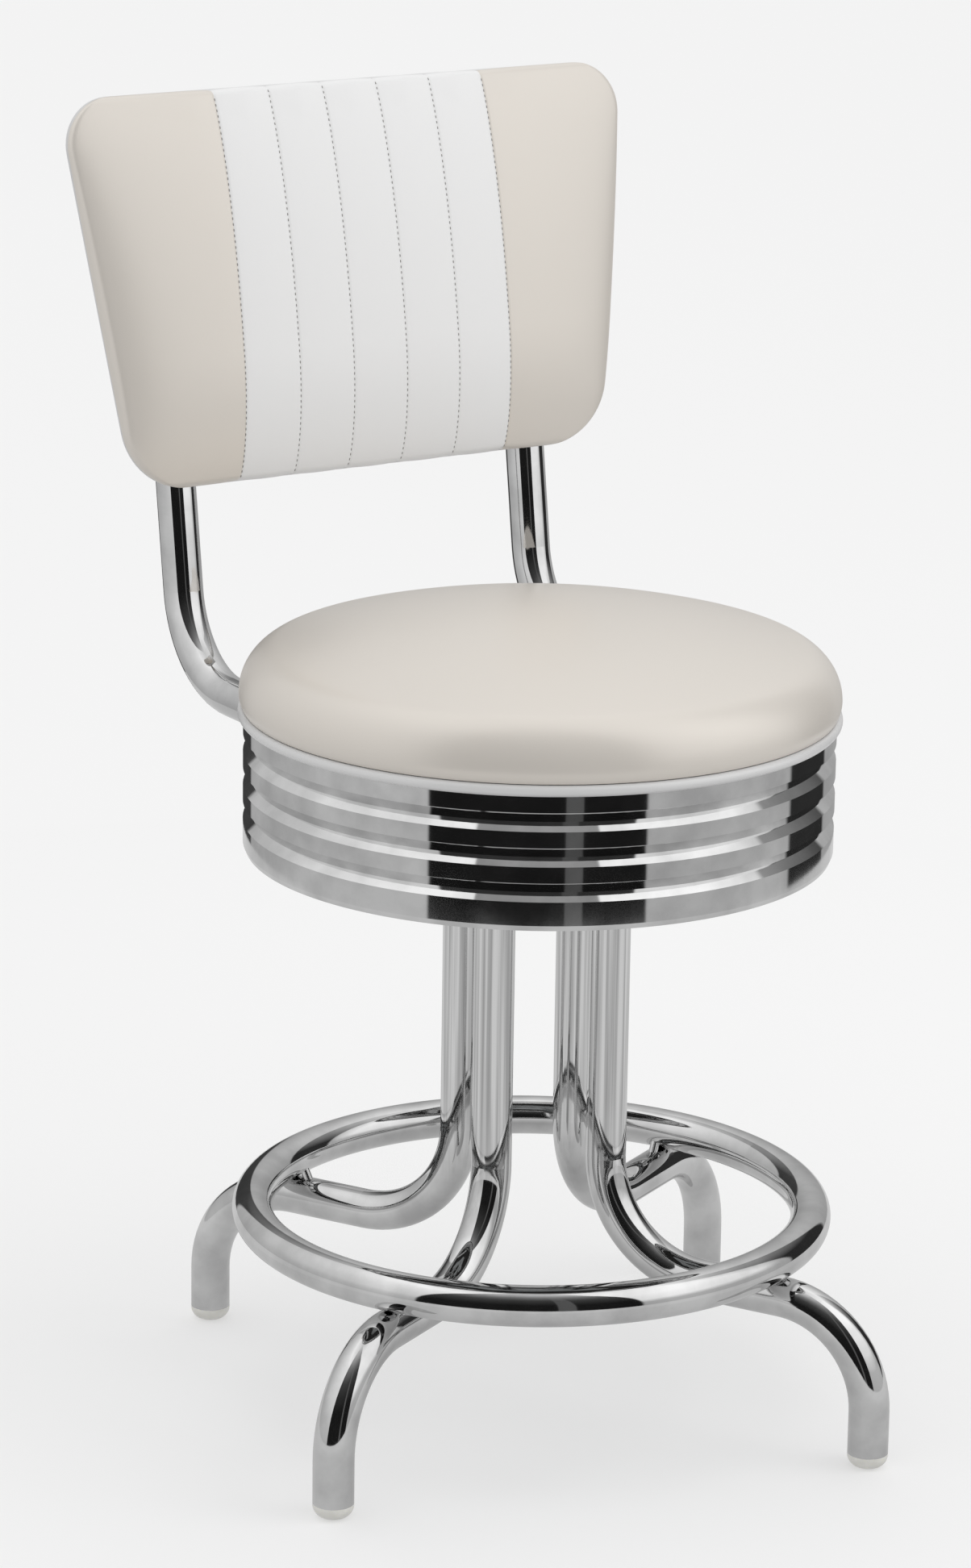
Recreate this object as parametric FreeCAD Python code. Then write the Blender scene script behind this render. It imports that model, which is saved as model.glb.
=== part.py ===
"""Low diner stool with a backrest, on a swivel: each piece as its own solid, in millimetres.

+Z is up, the origin is on the floor on the swivel axis, and the sitter faces -Y.
"""
import FreeCAD, Part
import math
import os

from FreeCAD import Rotation, Vector

# ---- Bent tubes -------------------------------------------------------------------------------
TUBE_OD = 25.4
TUBE_WALL = 1.6
WELD_GAP = 0.1

# ---- Base: four bent legs round the axis ------------------------------------------------------
LEG_COUNT = 4
LEG_FIRST_ANGLE = 28.1
COLUMN_RADIUS = 52.8
FOOT_RADIUS = 241.3
LEG_TOP_HEIGHT = 430.0
LEG_RUN_HEIGHT = 99.1
KNEE_BEND_RADIUS = 70.0
ANKLE_BEND_RADIUS = 63.0

# ---- Nylon glides in the leg ends -------------------------------------------------------------
GLIDE_HEIGHT = 9.0
GLIDE_COLLAR = 1.5
GLIDE_FLAT_RADIUS = 4.0
GLIDE_STEM = 16.0
PLUG_CLEARANCE = 0.05

# ---- Foot ring and the studs that tie it to the legs ------------------------------------------
FOOT_RING_RADIUS = 177.4
STUD_DIAMETER = 6.0
STUD_LEG_INSET = 12.6
STUD_RING_INSET = 6.4
STUD_BURY = 3.0

# ---- Swivel: two square plates, a ring of balls between two races, a pivot --------------------
PLATE_SIDE = 150.0
PLATE_CORNER = 10.0
COLUMN_PLATE_THICKNESS = 4.0
SWIVEL_PLATE_THICKNESS = 3.0
SWIVEL_GAP = 13.2
BALL_DIAMETER = 8.0
BALL_SPACE = 1.2
BALL_CIRCLE_RADIUS = 36.0
BALL_CLEARANCE = 0.05
RACE_HALF_WIDTH = 8.0
RACE_SPLIT = 4.4
PIVOT_RADIUS = 8.0
PIVOT_BORE_RADIUS = 3.5
PIVOT_FLANGE_RADIUS = 14.0
PIVOT_FLANGE_THICKNESS = 2.2
PIVOT_CLEARANCE = 0.06
PIVOT_FLANGE_GAP = 0.3
PLATE_CENTRE_HOLE_RADIUS = 20.0

# ---- Plate bolts ------------------------------------------------------------------------------
PLATE_BOLT_SPACING = 126.0
LOWER_BOLT_RADIUS = 4.0
LOWER_BOLT_HEAD_RADIUS = 7.0
UPPER_BOLT_RADIUS = 3.0
UPPER_BOLT_HEAD_RADIUS = 5.5
BOLT_HEAD_HEIGHT = 4.2
BOLT_HOLE_CLEARANCE = 0.3
NUT_HEIGHT = 6.5
NUT_ACROSS_CORNERS = 15.0
THREAD_CLEARANCE = 0.05
BOLT_TAIL = 2.0

# ---- Seat board, tee nuts and seat pad --------------------------------------------------------
BOARD_EDGE_GAP = 4.3
BOARD_THICKNESS = 15.0
BOARD_RECESS_EXTRA = 3.0
TEE_BARREL_RADIUS = 4.2
TEE_BARREL_LENGTH = 10.0
TEE_FLANGE_RADIUS = 9.0
TEE_FLANGE_THICKNESS = 1.2
PAD_GAP = 0.4
PAD_OVERHANG = 2.8
PAD_TUCK = 2.3
PAD_SIDE_HEIGHT = 8.0
PAD_CROWN = 53.0
PAD_SHOULDER_RADIUS = 31.0

# ---- Ribbed band round the seat ---------------------------------------------------------------
BAND_RADIUS = 184.0
BAND_SHEET = 0.8
BAND_RIBS = 4
RIB_PITCH = 21.6
RIB_FACE = 10.0
RIB_HOLLOW_DROP = 16.6
RIB_DEPTH = 4.8
BAND_HEM_HEIGHT = 3.4
BAND_HEM_TUCK = 1.4
BAND_LAST_RIB = 18.0
BAND_LIP_INSET = 3.7
BAND_FLANGE_WIDTH = 20.0
BAND_SLOT_CLEARANCE = 0.8
BAND_SCREW_ANGLES = (0.0, 75.0, 105.0, 180.0, 225.0, 270.0, 315.0)
BAND_SCREW_CIRCLE_INSET = 11.0
SCREW_RADIUS = 1.8
SCREW_HEAD_RADIUS = 3.6
SCREW_HEAD_HEIGHT = 2.2
SCREW_LENGTH = 11.0

# ---- Piping ----------------------------------------------------------------------------------
SEAT_PIPING_DIAMETER = 7.0
PIPING_GAP = 0.2
PIPING_END_GAP = 1.5
BACK_PIPING_DIAMETER = 6.6

# ---- Back tubes -------------------------------------------------------------------------------
BACK_TUBE_SPACING = 263.2
BACK_TUBE_FRONT_Y = -62.0
BACK_BEND_RADIUS = 65.0
BACK_LEAN = 8.25
BACK_STANDOFF = 48.1
BACK_RISE = 146.8
BACK_TUBE_TOP = 158.0
TUBE_FRONT_BOLT_INSET = 24.0
TUBE_REAR_BOLT_EDGE = 17.7
CAP_THICKNESS = 2.0
CAP_STEM = 12.0

# ---- Backrest, in its own leaning frame: across, up from the reference height, forward --------
BACK_TOP = 210.3
BACK_BOTTOM = -37.6
BACK_TOP_HALF_WIDTH = 206.0
BACK_BOTTOM_HALF_WIDTH = 172.4
BACK_TOP_CORNER = 30.0
BACK_BOTTOM_CORNER = 44.0
OUTLINE_SLAB = 1.0
REAR_PANEL_THICKNESS = 2.0
BACK_BOARD_THICKNESS = 8.0
LAYER_GAP = 0.2
BACK_PAD_THICKNESS = 26.0
BACK_PAD_CROWN_RADIUS = 1100.0
CENTRE_PANEL_WIDTH = 194.0
PANEL_SEAM_GAP = 0.3
BACK_SCREW_UP = (12.0, 128.0)
BACK_SCREW_RADIUS = 2.5
BACK_SCREW_HEAD_RADIUS = 5.0
BACK_SCREW_HEAD_HEIGHT = 2.6
BACK_SCREW_BITE = 6.5

# ---- Worked out from the sizes above ----------------------------------------------------------
TUBE_RADIUS = TUBE_OD / 2
TUBE_BORE_RADIUS = TUBE_RADIUS - TUBE_WALL
PLUG_RADIUS = TUBE_BORE_RADIUS - PLUG_CLEARANCE
FOOT_RING_HEIGHT = LEG_RUN_HEIGHT + TUBE_OD + WELD_GAP
COLUMN_PLATE_TOP = LEG_TOP_HEIGHT + COLUMN_PLATE_THICKNESS
LOWER_PLATE_TOP = COLUMN_PLATE_TOP + SWIVEL_PLATE_THICKNESS
BALL_HEIGHT = LOWER_PLATE_TOP + SWIVEL_GAP / 2
UPPER_PLATE_BOTTOM = LOWER_PLATE_TOP + SWIVEL_GAP
BOARD_BOTTOM = UPPER_PLATE_BOTTOM + SWIVEL_PLATE_THICKNESS
BOARD_TOP = BOARD_BOTTOM + BOARD_THICKNESS
BACK_TUBE_HEIGHT = BOARD_BOTTOM - TUBE_RADIUS
BACK_TUBE_X = BACK_TUBE_SPACING / 2
BALL_COUNT = int(2 * math.pi * BALL_CIRCLE_RADIUS / (BALL_DIAMETER + BALL_SPACE))
BACK_REFERENCE_HEIGHT = BOARD_BOTTOM + BACK_RISE
BAND_TOP = BOARD_BOTTOM - SEAT_PIPING_DIAMETER - PIPING_GAP
BAND_LIP_RADIUS = BAND_RADIUS - BAND_LIP_INSET
SEAT_PIPING_RADIUS = SEAT_PIPING_DIAMETER / 2
SEAT_PIPING_CIRCLE = BAND_LIP_RADIUS + PIPING_GAP + SEAT_PIPING_RADIUS
BOARD_RADIUS = BAND_LIP_RADIUS - BOARD_EDGE_GAP
PAD_RADIUS = SEAT_PIPING_CIRCLE + PAD_OVERHANG
BACK_REACH = BAND_RADIUS + BACK_STANDOFF
SEAT_PIPING_HEIGHT = BAND_TOP + PIPING_GAP / 2 + SEAT_PIPING_RADIUS
BACK_PIPING_RADIUS = BACK_PIPING_DIAMETER / 2
REAR_PANEL_BACK = TUBE_RADIUS + LAYER_GAP
BACK_BOARD_BACK = REAR_PANEL_BACK + REAR_PANEL_THICKNESS
BACK_PAD_BACK = BACK_BOARD_BACK + BACK_BOARD_THICKNESS + LAYER_GAP
BACK_BOARD_INSET = BACK_PIPING_DIAMETER + LAYER_GAP
TUBE_FRONT_BOLT_Y = BACK_TUBE_FRONT_Y + TUBE_FRONT_BOLT_INSET
TUBE_REAR_BOLT_Y = math.sqrt((BOARD_RADIUS - TUBE_REAR_BOLT_EDGE) ** 2 - BACK_TUBE_X ** 2)
TUBE_BOLT_Y = (TUBE_FRONT_BOLT_Y, TUBE_REAR_BOLT_Y)

UP = Vector(0, 0, 1)
ORIGIN = Vector(0, 0, 0)


def save(shape, node):
    """Write one sub-part, without the leftovers of its boolean steps."""
    shape.removeSplitter().exportStep("parts/" + node + ".step")


def turned(shape, degrees):
    """The shape, turned about the swivel axis."""
    copy = shape.copy()
    copy.rotate(ORIGIN, UP, degrees)
    return copy


def rod(radius, start, end):
    """A plain round bar between two points."""
    along = end - start
    return Part.makeCylinder(radius, along.Length, start, along)


def revolve(points):
    """A solid of revolution about Z from (radius, height) corners."""
    corners = [Vector(radius, 0, height) for radius, height in points]
    wire = Part.makePolygon(corners + corners[:1])
    return Part.Face(wire).revolve(ORIGIN, UP, 360)


def swept(path, radius):
    """A round solid swept along a path of tangent lines and arcs."""
    start = path.Edges[0].valueAt(path.Edges[0].FirstParameter)
    direction = path.Edges[0].tangentAt(path.Edges[0].FirstParameter)
    ring = Part.Wire(Part.Circle(start, direction, radius).toShape())
    return path.makePipeShell([ring], True, False)


def bent_tube(path):
    """A tube of the common stock along a path."""
    return swept(path, TUBE_RADIUS).cut(swept(path, TUBE_BORE_RADIUS))


def line(start, end):
    return Part.LineSegment(start, end).toShape()


def arc(centre, radius, first, last, point):
    """An arc in a vertical plane; point(across, height) places it in space."""
    middle = (first + last) / 2
    places = []
    for degrees in (first, middle, last):
        angle = math.radians(degrees)
        places.append(point(centre[0] + radius * math.cos(angle), centre[1] + radius * math.sin(angle)))
    return Part.Arc(*places).toShape()


# ---- Base -------------------------------------------------------------------------------------
def leg_path():
    """Down the column, out along the run, and down to the floor, in the XZ plane."""
    def point(across, height):
        return Vector(across, 0, height)

    knee = (COLUMN_RADIUS + KNEE_BEND_RADIUS, LEG_RUN_HEIGHT + KNEE_BEND_RADIUS)
    ankle = (FOOT_RADIUS - ANKLE_BEND_RADIUS, LEG_RUN_HEIGHT - ANKLE_BEND_RADIUS)
    return Part.Wire([
        line(point(COLUMN_RADIUS, LEG_TOP_HEIGHT), point(COLUMN_RADIUS, knee[1])),
        arc(knee, KNEE_BEND_RADIUS, 180, 270, point),
        line(point(knee[0], LEG_RUN_HEIGHT), point(ankle[0], LEG_RUN_HEIGHT)),
        arc(ankle, ANKLE_BEND_RADIUS, 90, 0, point),
        line(point(FOOT_RADIUS, ankle[1]), point(FOOT_RADIUS, GLIDE_HEIGHT)),
    ])


def foot_glide():
    """A domed nylon foot with a stem up inside the leg."""
    dome_depth = GLIDE_HEIGHT - GLIDE_COLLAR
    middle_angle = math.radians(45)
    rim = Vector(TUBE_RADIUS, 0, dome_depth)
    bend = GLIDE_FLAT_RADIUS + (TUBE_RADIUS - GLIDE_FLAT_RADIUS) * math.cos(middle_angle)
    middle = Vector(bend, 0, dome_depth * (1 - math.sin(middle_angle)))
    sole = Vector(GLIDE_FLAT_RADIUS, 0, 0)
    stem_top = GLIDE_HEIGHT + GLIDE_STEM
    corners = [
        sole,
        ORIGIN,
        Vector(0, 0, stem_top),
        Vector(PLUG_RADIUS, 0, stem_top),
        Vector(PLUG_RADIUS, 0, GLIDE_HEIGHT),
        Vector(TUBE_RADIUS, 0, GLIDE_HEIGHT),
        rim,
    ]
    edges = [Part.Arc(rim, middle, sole).toShape()]
    for start, end in zip(corners, corners[1:]):
        edges.append(line(start, end))
    glide = Part.Face(Part.Wire(Part.__sortEdges__(edges))).revolve(ORIGIN, UP, 360)
    glide.translate(Vector(FOOT_RADIUS, 0, 0))
    return glide


def foot_ring():
    """A closed ring of the same tube, lying on the four runs."""
    place = Vector(0, 0, FOOT_RING_HEIGHT)
    outside = Part.makeTorus(FOOT_RING_RADIUS, TUBE_RADIUS, place, UP)
    return outside.cut(Part.makeTorus(FOOT_RING_RADIUS, TUBE_BORE_RADIUS, place, UP))


def ring_stud():
    """A short welded stud from the top of a run up to the inside of the ring."""
    foot = Vector(FOOT_RING_RADIUS - STUD_LEG_INSET, 0, LEG_RUN_HEIGHT + TUBE_RADIUS - STUD_BURY)
    head = Vector(FOOT_RING_RADIUS - STUD_RING_INSET, 0, FOOT_RING_HEIGHT - STUD_BURY)
    run_start = Vector(COLUMN_RADIUS, 0, LEG_RUN_HEIGHT)
    run_end = Vector(FOOT_RADIUS, 0, LEG_RUN_HEIGHT)
    ring = Part.makeTorus(FOOT_RING_RADIUS, TUBE_RADIUS, Vector(0, 0, FOOT_RING_HEIGHT), UP)
    return rod(STUD_DIAMETER / 2, foot, head).cut([rod(TUBE_RADIUS, run_start, run_end), ring])


def square_plate(bottom, thickness, centre_hole, bolt_radius):
    """A square plate with round corners, a centre hole and four bolt holes."""
    half = PLATE_SIDE / 2
    plate = Part.makeBox(PLATE_SIDE, PLATE_SIDE, thickness, Vector(-half, -half, bottom))
    upright = [edge for edge in plate.Edges if abs(edge.BoundBox.ZLength - thickness) < thickness / 10]
    plate = plate.makeFillet(PLATE_CORNER, upright)
    cuts = [Part.makeCylinder(centre_hole, thickness, Vector(0, 0, bottom))]
    for x, y in bolt_places():
        cuts.append(Part.makeCylinder(bolt_radius + BOLT_HOLE_CLEARANCE, thickness, Vector(x, y, bottom)))
    return plate.cut(cuts)


def bolt_places():
    half = PLATE_BOLT_SPACING / 2
    return [(half, half), (-half, half), (-half, -half), (half, -half)]


def column_plate():
    return square_plate(LEG_TOP_HEIGHT, COLUMN_PLATE_THICKNESS, PLATE_CENTRE_HOLE_RADIUS, LOWER_BOLT_RADIUS)


def race(plate_face, toward):
    """A raised ring on a swivel plate, with a groove for the balls; toward is 1 up or -1 down."""
    inner = BALL_CIRCLE_RADIUS - RACE_HALF_WIDTH
    outer = BALL_CIRCLE_RADIUS + RACE_HALF_WIDTH
    top = plate_face + toward * RACE_SPLIT
    block = revolve([(inner, plate_face), (outer, plate_face), (outer, top), (inner, top)])
    groove_radius = BALL_DIAMETER / 2 + BALL_CLEARANCE
    groove = Part.makeTorus(BALL_CIRCLE_RADIUS, groove_radius, Vector(0, 0, BALL_HEIGHT), UP)
    return block.cut(groove)


def swivel_lower_plate():
    plate = square_plate(COLUMN_PLATE_TOP, SWIVEL_PLATE_THICKNESS, PIVOT_RADIUS, LOWER_BOLT_RADIUS)
    return plate.fuse(race(LOWER_PLATE_TOP, 1))


def swivel_upper_plate():
    bore = PIVOT_RADIUS + PIVOT_CLEARANCE
    plate = square_plate(UPPER_PLATE_BOTTOM, SWIVEL_PLATE_THICKNESS, bore, UPPER_BOLT_RADIUS)
    return plate.fuse(race(UPPER_PLATE_BOTTOM, -1))


def swivel_pivot():
    """A hollow rivet: fixed in the lower plate, and the upper plate turns about it."""
    lower_face = COLUMN_PLATE_TOP
    upper_face = BOARD_BOTTOM + PIVOT_FLANGE_GAP
    return revolve([
        (PIVOT_BORE_RADIUS, lower_face - PIVOT_FLANGE_THICKNESS),
        (PIVOT_FLANGE_RADIUS, lower_face - PIVOT_FLANGE_THICKNESS),
        (PIVOT_FLANGE_RADIUS, lower_face),
        (PIVOT_RADIUS, lower_face),
        (PIVOT_RADIUS, upper_face),
        (PIVOT_FLANGE_RADIUS, upper_face),
        (PIVOT_FLANGE_RADIUS, upper_face + PIVOT_FLANGE_THICKNESS),
        (PIVOT_BORE_RADIUS, upper_face + PIVOT_FLANGE_THICKNESS),
    ])


def swivel_balls():
    balls = []
    for number in range(BALL_COUNT):
        angle = 2 * math.pi * number / BALL_COUNT
        x = BALL_CIRCLE_RADIUS * math.cos(angle)
        y = BALL_CIRCLE_RADIUS * math.sin(angle)
        balls.append(Part.makeSphere(BALL_DIAMETER / 2, Vector(x, y, BALL_HEIGHT)))
    return Part.makeCompound(balls)


def bolt(radius, head_radius, head_height, seat, tip):
    """A bolt whose head sits at the point seat, on the side away from the point tip."""
    along = (tip - seat).normalize()
    shank = rod(radius, seat, tip)
    head = rod(head_radius, seat - along * head_height, seat)
    return shank.fuse(head)


def lower_plate_bolts():
    bolts = []
    for x, y in bolt_places():
        seat = Vector(x, y, LOWER_PLATE_TOP)
        tip = Vector(x, y, LEG_TOP_HEIGHT - NUT_HEIGHT - BOLT_TAIL)
        bolts.append(bolt(LOWER_BOLT_RADIUS, LOWER_BOLT_HEAD_RADIUS, BOLT_HEAD_HEIGHT, seat, tip))
    return Part.makeCompound(bolts)


def lower_plate_nuts():
    nuts = []
    for x, y in bolt_places():
        corners = []
        for number in range(6):
            angle = math.radians(60 * number)
            across = NUT_ACROSS_CORNERS / 2 * math.cos(angle)
            along = NUT_ACROSS_CORNERS / 2 * math.sin(angle)
            corners.append(Vector(x + across, y + along, LEG_TOP_HEIGHT - NUT_HEIGHT))
        block = Part.Face(Part.makePolygon(corners + corners[:1])).extrude(UP * NUT_HEIGHT)
        bore_start = Vector(x, y, LEG_TOP_HEIGHT - NUT_HEIGHT)
        bore = Part.makeCylinder(LOWER_BOLT_RADIUS + THREAD_CLEARANCE, NUT_HEIGHT, bore_start)
        nuts.append(block.cut(bore))
    return Part.makeCompound(nuts)


# ---- Seat -------------------------------------------------------------------------------------
def tube_bolt_places():
    return [(side * BACK_TUBE_X, y) for side in (-1, 1) for y in TUBE_BOLT_Y]


def seat_board():
    """A plywood disc, drilled for every tee nut and cleared for the pivot's head."""
    board = Part.makeCylinder(BOARD_RADIUS, BOARD_THICKNESS, Vector(0, 0, BOARD_BOTTOM))
    recess_depth = PIVOT_FLANGE_GAP + PIVOT_FLANGE_THICKNESS + BOARD_RECESS_EXTRA
    recess_radius = PIVOT_FLANGE_RADIUS + BOARD_RECESS_EXTRA
    cuts = [Part.makeCylinder(recess_radius, recess_depth, Vector(0, 0, BOARD_BOTTOM))]
    for x, y in bolt_places() + tube_bolt_places():
        cuts.append(Part.makeCylinder(TEE_BARREL_RADIUS, BOARD_THICKNESS, Vector(x, y, BOARD_BOTTOM)))
        flange_bottom = BOARD_TOP - TEE_FLANGE_THICKNESS
        cuts.append(Part.makeCylinder(TEE_FLANGE_RADIUS, TEE_FLANGE_THICKNESS, Vector(x, y, flange_bottom)))
    for x, y in band_screw_places():
        cuts.append(rod(SCREW_RADIUS, Vector(x, y, BOARD_BOTTOM), Vector(x, y, screw_tip())))
    return board.cut(cuts)


def tee_nuts():
    """Flanged nuts let into the top of the board, one over each bolt."""
    nuts = []
    bore = UPPER_BOLT_RADIUS + THREAD_CLEARANCE
    for x, y in bolt_places() + tube_bolt_places():
        nut = revolve([
            (bore, BOARD_TOP - TEE_BARREL_LENGTH),
            (TEE_BARREL_RADIUS, BOARD_TOP - TEE_BARREL_LENGTH),
            (TEE_BARREL_RADIUS, BOARD_TOP - TEE_FLANGE_THICKNESS),
            (TEE_FLANGE_RADIUS, BOARD_TOP - TEE_FLANGE_THICKNESS),
            (TEE_FLANGE_RADIUS, BOARD_TOP),
            (bore, BOARD_TOP),
        ])
        nut.translate(Vector(x, y, 0))
        nuts.append(nut)
    return Part.makeCompound(nuts)


def upper_plate_bolts():
    bolts = []
    for x, y in bolt_places():
        seat = Vector(x, y, UPPER_PLATE_BOTTOM)
        bolts.append(bolt(UPPER_BOLT_RADIUS, UPPER_BOLT_HEAD_RADIUS, BOLT_HEAD_HEIGHT, seat,
                          Vector(x, y, BOARD_TOP - BOLT_TAIL)))
    return Part.makeCompound(bolts)


def tube_bolts():
    bolts = []
    for x, y in tube_bolt_places():
        seat = Vector(x, y, BACK_TUBE_HEIGHT - TUBE_RADIUS)
        bolts.append(bolt(UPPER_BOLT_RADIUS, UPPER_BOLT_HEAD_RADIUS, BOLT_HEAD_HEIGHT, seat,
                          Vector(x, y, BOARD_TOP - BOLT_TAIL)))
    return Part.makeCompound(bolts)


def seat_pad():
    """The cushion: a crowned disc whose side comes down round the edge of the board."""
    bottom = BOARD_BOTTOM + PAD_GAP
    widest = bottom + PAD_SIDE_HEIGHT
    recess_radius = BOARD_RADIUS + PAD_GAP
    recess_top = BOARD_TOP + PAD_GAP
    foot = Vector(PAD_RADIUS - PAD_TUCK, 0, bottom)
    shoulder = Vector(PAD_RADIUS, 0, widest)
    middle = Vector(PAD_RADIUS - PAD_TUCK / 4, 0, bottom + PAD_SIDE_HEIGHT / 2)
    top = Vector(0, 0, widest + PAD_CROWN)
    across = PAD_RADIUS - PAD_SHOULDER_RADIUS
    crown_radius = ((across ** 2 + PAD_CROWN ** 2 - PAD_SHOULDER_RADIUS ** 2)
                    / (2 * (PAD_CROWN - PAD_SHOULDER_RADIUS)))
    crown_angle = math.asin(across / (crown_radius - PAD_SHOULDER_RADIUS))
    crown_centre = (0, widest + PAD_CROWN - crown_radius)
    turn = 90 - math.degrees(crown_angle)

    def point(radius, height):
        return Vector(radius, 0, height)

    edges = [
        Part.Arc(foot, middle, shoulder).toShape(),
        arc((across, widest), PAD_SHOULDER_RADIUS, 0, turn, point),
        arc(crown_centre, crown_radius, turn, 90, point),
        line(top, Vector(0, 0, recess_top)),
        line(Vector(0, 0, recess_top), Vector(recess_radius, 0, recess_top)),
        line(Vector(recess_radius, 0, recess_top), Vector(recess_radius, 0, bottom)),
        line(Vector(recess_radius, 0, bottom), foot),
    ]
    return Part.Face(Part.Wire(Part.__sortEdges__(edges))).revolve(ORIGIN, UP, 360)


def rib_outline(inset):
    """The band's wall, top to bottom, as (radius, height); inset moves it inward."""
    points = []
    top = BAND_TOP
    crest = BAND_RADIUS - inset
    for number in range(BAND_RIBS - 1):
        points.append((crest, top))
        points.append((crest, top - RIB_FACE))
        points.append((crest - RIB_DEPTH, top - RIB_HOLLOW_DROP))
        top = top - RIB_PITCH
    points.append((crest, top))
    points.append((crest, top - BAND_LAST_RIB + BAND_HEM_HEIGHT))
    points.append((crest - BAND_HEM_TUCK, top - BAND_LAST_RIB))
    return points


def tube_lanes(clearance):
    """Where the two back tubes run under the board and out through the band, cleared all round."""
    lanes = []
    half = TUBE_RADIUS + clearance
    front = BACK_TUBE_FRONT_Y - CAP_THICKNESS - clearance
    reach = BAND_RADIUS + TUBE_OD - front
    for side in (-1, 1):
        x = side * BACK_TUBE_X
        start = Vector(x, front, BACK_TUBE_HEIGHT)
        round_part = rod(half, start, start + Vector(0, reach, 0))
        over = Part.makeBox(2 * half, reach, BOARD_THICKNESS, Vector(x - half, front, BACK_TUBE_HEIGHT))
        lanes.append(round_part.fuse(over))
    return lanes


def seat_band():
    """A thin ribbed ring with a lip behind the piping and a flange under the board."""
    flange_inner = BAND_LIP_RADIUS - BAND_FLANGE_WIDTH
    inner = rib_outline(BAND_SHEET)
    lip_inner = BAND_LIP_RADIUS - BAND_SHEET
    outline = [(flange_inner, BOARD_BOTTOM), (BAND_LIP_RADIUS, BOARD_BOTTOM), (BAND_LIP_RADIUS, BAND_TOP)]
    outline = outline + rib_outline(0)
    inner_top = (inner[0][0], BAND_TOP - BAND_SHEET)
    outline = outline + list(reversed(inner[1:])) + [inner_top]
    outline = outline + [
        (lip_inner, BAND_TOP - BAND_SHEET),
        (lip_inner, BOARD_BOTTOM - BAND_SHEET),
        (flange_inner, BOARD_BOTTOM - BAND_SHEET),
    ]
    band = revolve(outline)
    cuts = tube_lanes(BAND_SLOT_CLEARANCE)
    for x, y in band_screw_places():
        start = Vector(x, y, BOARD_BOTTOM - BAND_SHEET)
        cuts.append(rod(SCREW_RADIUS + BOLT_HOLE_CLEARANCE, start, start + UP * BAND_SHEET))
    return band.cut(cuts)


def band_screw_places():
    circle = BAND_LIP_RADIUS - BAND_SCREW_CIRCLE_INSET
    places = []
    for degrees in BAND_SCREW_ANGLES:
        angle = math.radians(degrees)
        places.append((circle * math.cos(angle), circle * math.sin(angle)))
    return places


def screw_tip():
    return BOARD_BOTTOM + SCREW_LENGTH


def band_screws():
    screws = []
    for x, y in band_screw_places():
        seat = Vector(x, y, BOARD_BOTTOM - BAND_SHEET)
        tip = Vector(x, y, screw_tip())
        screws.append(bolt(SCREW_RADIUS, SCREW_HEAD_RADIUS, SCREW_HEAD_HEIGHT, seat, tip))
    return Part.makeCompound(screws)


def seat_piping():
    """The welt round the seat: a front length and a rear length, stopped at the tubes."""
    place = Vector(0, 0, SEAT_PIPING_HEIGHT)
    ring = Part.makeTorus(SEAT_PIPING_CIRCLE, SEAT_PIPING_RADIUS, place, UP)
    lengths = ring.cut(tube_lanes(PIPING_END_GAP)).Solids
    return sorted(lengths, key=lambda solid: solid.CenterOfMass.y)


# ---- Back -------------------------------------------------------------------------------------
def back_tube(side):
    """Forward under the board, up round the bend behind the seat, then up the lean."""
    lean = math.radians(BACK_LEAN)
    x = side * BACK_TUBE_X

    def point(y, height):
        return Vector(x, y, height)

    bend_height = BACK_TUBE_HEIGHT + BACK_BEND_RADIUS
    rise = BACK_REFERENCE_HEIGHT - bend_height + BACK_BEND_RADIUS * math.sin(lean)
    bend_end_y = BACK_REACH - rise * math.tan(lean)
    bend = (bend_end_y - BACK_BEND_RADIUS * math.cos(lean), bend_height)
    top = point(BACK_REACH + BACK_TUBE_TOP * math.sin(lean),
                BACK_REFERENCE_HEIGHT + BACK_TUBE_TOP * math.cos(lean))
    path = Part.Wire([
        line(point(BACK_TUBE_FRONT_Y, BACK_TUBE_HEIGHT), point(bend[0], BACK_TUBE_HEIGHT)),
        arc(bend, BACK_BEND_RADIUS, -90, -BACK_LEAN, point),
        line(point(bend_end_y, BACK_REFERENCE_HEIGHT - rise), top),
    ])
    cuts = []
    for y in TUBE_BOLT_Y:
        start = Vector(x, y, BACK_TUBE_HEIGHT - TUBE_OD)
        cuts.append(rod(UPPER_BOLT_RADIUS + BOLT_HOLE_CLEARANCE, start, start + UP * 2 * TUBE_OD))
    for up in BACK_SCREW_UP:
        start = Vector(x, TUBE_OD, up)
        hole = rod(BACK_SCREW_RADIUS + BOLT_HOLE_CLEARANCE, start, start - Vector(0, 2 * TUBE_OD, 0))
        cuts.append(leaned(hole))
    return bent_tube(path).cut(cuts)


def leaned(shape):
    """From the backrest's own frame (x across, -y forward, z up) to its place on the tubes."""
    copy = shape.copy()
    copy.Placement = FreeCAD.Placement(Vector(0, BACK_REACH, BACK_REFERENCE_HEIGHT),
                                       Rotation(Vector(1, 0, 0), -BACK_LEAN)).multiply(copy.Placement)
    return copy


def tube_cap():
    """A flat round plug with a stem, drawn with its face up at the origin."""
    return revolve([
        (0, -CAP_STEM),
        (PLUG_RADIUS, -CAP_STEM),
        (PLUG_RADIUS, 0),
        (TUBE_RADIUS, 0),
        (TUBE_RADIUS, CAP_THICKNESS),
        (0, CAP_THICKNESS),
    ])


def tube_front_cap(side):
    cap = tube_cap()
    cap.rotate(ORIGIN, Vector(1, 0, 0), 90)
    cap.translate(Vector(side * BACK_TUBE_X, BACK_TUBE_FRONT_Y, BACK_TUBE_HEIGHT))
    return cap


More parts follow.
